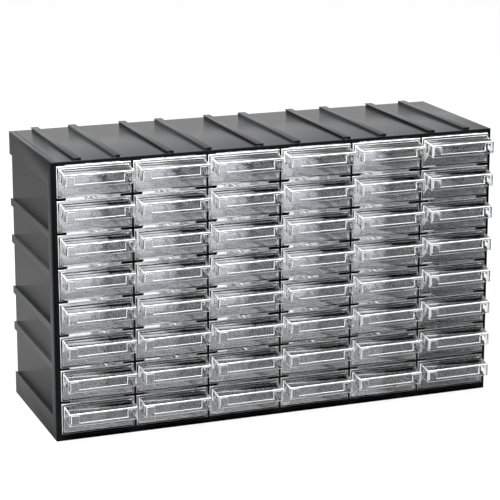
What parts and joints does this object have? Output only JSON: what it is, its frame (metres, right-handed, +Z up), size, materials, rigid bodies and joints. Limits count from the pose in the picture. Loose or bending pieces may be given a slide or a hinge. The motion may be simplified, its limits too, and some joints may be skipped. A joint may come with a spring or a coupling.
{
  "type": "parts bin cabinet",
  "caption": "Low storage cabinet with rows of clear pull-out bins in a dark casing, whose dovetail tongues and grooves join it to its neighbours.",
  "frame": {"origin": "centre of the footprint on the surface that the cabinet stands on, midway between the drawer fronts and the back", "axes": "+X to the right and +Y to the back as seen from the drawer side, +Z up; the drawers pull out along -Y"},
  "size_m": [0.382, 0.148, 0.23],
  "materials": {
    "casing": "satin moulded plastic, near black",
    "drawer": "clear gloss plastic"
  },
  "bodies": {
    "cabinet": {"casing_left": "casing", "casing_right": "casing", "casing_top": "casing", "casing_bottom": "casing", "divider_1": "casing", "divider_2": "casing", "divider_3": "casing", "divider_4": "casing", "divider_5": "casing"},
    "drawer_r1_c1": {"drawer_r1_c1": "drawer"},
    "drawer_r1_c2": {"drawer_r1_c2": "drawer"},
    "drawer_r1_c3": {"drawer_r1_c3": "drawer"},
    "drawer_r1_c4": {"drawer_r1_c4": "drawer"},
    "drawer_r1_c5": {"drawer_r1_c5": "drawer"},
    "drawer_r1_c6": {"drawer_r1_c6": "drawer"},
    "drawer_r2_c1": {"drawer_r2_c1": "drawer"},
    "drawer_r2_c2": {"drawer_r2_c2": "drawer"},
    "drawer_r2_c3": {"drawer_r2_c3": "drawer"},
    "drawer_r2_c4": {"drawer_r2_c4": "drawer"},
    "drawer_r2_c5": {"drawer_r2_c5": "drawer"},
    "drawer_r2_c6": {"drawer_r2_c6": "drawer"},
    "drawer_r3_c1": {"drawer_r3_c1": "drawer"},
    "drawer_r3_c2": {"drawer_r3_c2": "drawer"},
    "drawer_r3_c3": {"drawer_r3_c3": "drawer"},
    "drawer_r3_c4": {"drawer_r3_c4": "drawer"},
    "drawer_r3_c5": {"drawer_r3_c5": "drawer"},
    "drawer_r3_c6": {"drawer_r3_c6": "drawer"},
    "drawer_r4_c1": {"drawer_r4_c1": "drawer"},
    "drawer_r4_c2": {"drawer_r4_c2": "drawer"},
    "drawer_r4_c3": {"drawer_r4_c3": "drawer"},
    "drawer_r4_c4": {"drawer_r4_c4": "drawer"},
    "drawer_r4_c5": {"drawer_r4_c5": "drawer"},
    "drawer_r4_c6": {"drawer_r4_c6": "drawer"},
    "drawer_r5_c1": {"drawer_r5_c1": "drawer"},
    "drawer_r5_c2": {"drawer_r5_c2": "drawer"},
    "drawer_r5_c3": {"drawer_r5_c3": "drawer"},
    "drawer_r5_c4": {"drawer_r5_c4": "drawer"},
    "drawer_r5_c5": {"drawer_r5_c5": "drawer"},
    "drawer_r5_c6": {"drawer_r5_c6": "drawer"},
    "drawer_r6_c1": {"drawer_r6_c1": "drawer"},
    "drawer_r6_c2": {"drawer_r6_c2": "drawer"},
    "drawer_r6_c3": {"drawer_r6_c3": "drawer"},
    "drawer_r6_c4": {"drawer_r6_c4": "drawer"},
    "drawer_r6_c5": {"drawer_r6_c5": "drawer"},
    "drawer_r6_c6": {"drawer_r6_c6": "drawer"},
    "drawer_r7_c1": {"drawer_r7_c1": "drawer"},
    "drawer_r7_c2": {"drawer_r7_c2": "drawer"},
    "drawer_r7_c3": {"drawer_r7_c3": "drawer"},
    "drawer_r7_c4": {"drawer_r7_c4": "drawer"},
    "drawer_r7_c5": {"drawer_r7_c5": "drawer"},
    "drawer_r7_c6": {"drawer_r7_c6": "drawer"},
    "drawer_r8_c1": {"drawer_r8_c1": "drawer"},
    "drawer_r8_c2": {"drawer_r8_c2": "drawer"},
    "drawer_r8_c3": {"drawer_r8_c3": "drawer"},
    "drawer_r8_c4": {"drawer_r8_c4": "drawer"},
    "drawer_r8_c5": {"drawer_r8_c5": "drawer"},
    "drawer_r8_c6": {"drawer_r8_c6": "drawer"}
  },
  "joints": [
    {"name": "slide_r1_c1", "type": "slide", "parent": "cabinet", "child": "drawer_r1_c1", "axis": [0, -1, 0], "range_m": [0, 0.101]},
    {"name": "slide_r1_c2", "type": "slide", "parent": "cabinet", "child": "drawer_r1_c2", "axis": [0, -1, 0], "range_m": [0, 0.101]},
    {"name": "slide_r1_c3", "type": "slide", "parent": "cabinet", "child": "drawer_r1_c3", "axis": [0, -1, 0], "range_m": [0, 0.101]},
    {"name": "slide_r1_c4", "type": "slide", "parent": "cabinet", "child": "drawer_r1_c4", "axis": [0, -1, 0], "range_m": [0, 0.101]},
    {"name": "slide_r1_c5", "type": "slide", "parent": "cabinet", "child": "drawer_r1_c5", "axis": [0, -1, 0], "range_m": [0, 0.101]},
    {"name": "slide_r1_c6", "type": "slide", "parent": "cabinet", "child": "drawer_r1_c6", "axis": [0, -1, 0], "range_m": [0, 0.101]},
    {"name": "slide_r2_c1", "type": "slide", "parent": "cabinet", "child": "drawer_r2_c1", "axis": [0, -1, 0], "range_m": [0, 0.101]},
    {"name": "slide_r2_c2", "type": "slide", "parent": "cabinet", "child": "drawer_r2_c2", "axis": [0, -1, 0], "range_m": [0, 0.101]},
    {"name": "slide_r2_c3", "type": "slide", "parent": "cabinet", "child": "drawer_r2_c3", "axis": [0, -1, 0], "range_m": [0, 0.101]},
    {"name": "slide_r2_c4", "type": "slide", "parent": "cabinet", "child": "drawer_r2_c4", "axis": [0, -1, 0], "range_m": [0, 0.101]},
    {"name": "slide_r2_c5", "type": "slide", "parent": "cabinet", "child": "drawer_r2_c5", "axis": [0, -1, 0], "range_m": [0, 0.101]},
    {"name": "slide_r2_c6", "type": "slide", "parent": "cabinet", "child": "drawer_r2_c6", "axis": [0, -1, 0], "range_m": [0, 0.101]},
    {"name": "slide_r3_c1", "type": "slide", "parent": "cabinet", "child": "drawer_r3_c1", "axis": [0, -1, 0], "range_m": [0, 0.101]},
    {"name": "slide_r3_c2", "type": "slide", "parent": "cabinet", "child": "drawer_r3_c2", "axis": [0, -1, 0], "range_m": [0, 0.101]},
    {"name": "slide_r3_c3", "type": "slide", "parent": "cabinet", "child": "drawer_r3_c3", "axis": [0, -1, 0], "range_m": [0, 0.101]},
    {"name": "slide_r3_c4", "type": "slide", "parent": "cabinet", "child": "drawer_r3_c4", "axis": [0, -1, 0], "range_m": [0, 0.101]},
    {"name": "slide_r3_c5", "type": "slide", "parent": "cabinet", "child": "drawer_r3_c5", "axis": [0, -1, 0], "range_m": [0, 0.101]},
    {"name": "slide_r3_c6", "type": "slide", "parent": "cabinet", "child": "drawer_r3_c6", "axis": [0, -1, 0], "range_m": [0, 0.101]},
    {"name": "slide_r4_c1", "type": "slide", "parent": "cabinet", "child": "drawer_r4_c1", "axis": [0, -1, 0], "range_m": [0, 0.101]},
    {"name": "slide_r4_c2", "type": "slide", "parent": "cabinet", "child": "drawer_r4_c2", "axis": [0, -1, 0], "range_m": [0, 0.101]},
    {"name": "slide_r4_c3", "type": "slide", "parent": "cabinet", "child": "drawer_r4_c3", "axis": [0, -1, 0], "range_m": [0, 0.101]},
    {"name": "slide_r4_c4", "type": "slide", "parent": "cabinet", "child": "drawer_r4_c4", "axis": [0, -1, 0], "range_m": [0, 0.101]},
    {"name": "slide_r4_c5", "type": "slide", "parent": "cabinet", "child": "drawer_r4_c5", "axis": [0, -1, 0], "range_m": [0, 0.101]},
    {"name": "slide_r4_c6", "type": "slide", "parent": "cabinet", "child": "drawer_r4_c6", "axis": [0, -1, 0], "range_m": [0, 0.101]},
    {"name": "slide_r5_c1", "type": "slide", "parent": "cabinet", "child": "drawer_r5_c1", "axis": [0, -1, 0], "range_m": [0, 0.101]},
    {"name": "slide_r5_c2", "type": "slide", "parent": "cabinet", "child": "drawer_r5_c2", "axis": [0, -1, 0], "range_m": [0, 0.101]},
    {"name": "slide_r5_c3", "type": "slide", "parent": "cabinet", "child": "drawer_r5_c3", "axis": [0, -1, 0], "range_m": [0, 0.101]},
    {"name": "slide_r5_c4", "type": "slide", "parent": "cabinet", "child": "drawer_r5_c4", "axis": [0, -1, 0], "range_m": [0, 0.101]},
    {"name": "slide_r5_c5", "type": "slide", "parent": "cabinet", "child": "drawer_r5_c5", "axis": [0, -1, 0], "range_m": [0, 0.101]},
    {"name": "slide_r5_c6", "type": "slide", "parent": "cabinet", "child": "drawer_r5_c6", "axis": [0, -1, 0], "range_m": [0, 0.101]},
    {"name": "slide_r6_c1", "type": "slide", "parent": "cabinet", "child": "drawer_r6_c1", "axis": [0, -1, 0], "range_m": [0, 0.101]},
    {"name": "slide_r6_c2", "type": "slide", "parent": "cabinet", "child": "drawer_r6_c2", "axis": [0, -1, 0], "range_m": [0, 0.101]},
    {"name": "slide_r6_c3", "type": "slide", "parent": "cabinet", "child": "drawer_r6_c3", "axis": [0, -1, 0], "range_m": [0, 0.101]},
    {"name": "slide_r6_c4", "type": "slide", "parent": "cabinet", "child": "drawer_r6_c4", "axis": [0, -1, 0], "range_m": [0, 0.101]},
    {"name": "slide_r6_c5", "type": "slide", "parent": "cabinet", "child": "drawer_r6_c5", "axis": [0, -1, 0], "range_m": [0, 0.101]},
    {"name": "slide_r6_c6", "type": "slide", "parent": "cabinet", "child": "drawer_r6_c6", "axis": [0, -1, 0], "range_m": [0, 0.101]},
    {"name": "slide_r7_c1", "type": "slide", "parent": "cabinet", "child": "drawer_r7_c1", "axis": [0, -1, 0], "range_m": [0, 0.101]},
    {"name": "slide_r7_c2", "type": "slide", "parent": "cabinet", "child": "drawer_r7_c2", "axis": [0, -1, 0], "range_m": [0, 0.101]},
    {"name": "slide_r7_c3", "type": "slide", "parent": "cabinet", "child": "drawer_r7_c3", "axis": [0, -1, 0], "range_m": [0, 0.101]},
    {"name": "slide_r7_c4", "type": "slide", "parent": "cabinet", "child": "drawer_r7_c4", "axis": [0, -1, 0], "range_m": [0, 0.101]},
    {"name": "slide_r7_c5", "type": "slide", "parent": "cabinet", "child": "drawer_r7_c5", "axis": [0, -1, 0], "range_m": [0, 0.101]},
    {"name": "slide_r7_c6", "type": "slide", "parent": "cabinet", "child": "drawer_r7_c6", "axis": [0, -1, 0], "range_m": [0, 0.101]},
    {"name": "slide_r8_c1", "type": "slide", "parent": "cabinet", "child": "drawer_r8_c1", "axis": [0, -1, 0], "range_m": [0, 0.101]},
    {"name": "slide_r8_c2", "type": "slide", "parent": "cabinet", "child": "drawer_r8_c2", "axis": [0, -1, 0], "range_m": [0, 0.101]},
    {"name": "slide_r8_c3", "type": "slide", "parent": "cabinet", "child": "drawer_r8_c3", "axis": [0, -1, 0], "range_m": [0, 0.101]},
    {"name": "slide_r8_c4", "type": "slide", "parent": "cabinet", "child": "drawer_r8_c4", "axis": [0, -1, 0], "range_m": [0, 0.101]},
    {"name": "slide_r8_c5", "type": "slide", "parent": "cabinet", "child": "drawer_r8_c5", "axis": [0, -1, 0], "range_m": [0, 0.101]},
    {"name": "slide_r8_c6", "type": "slide", "parent": "cabinet", "child": "drawer_r8_c6", "axis": [0, -1, 0], "range_m": [0, 0.101]}
  ]
}
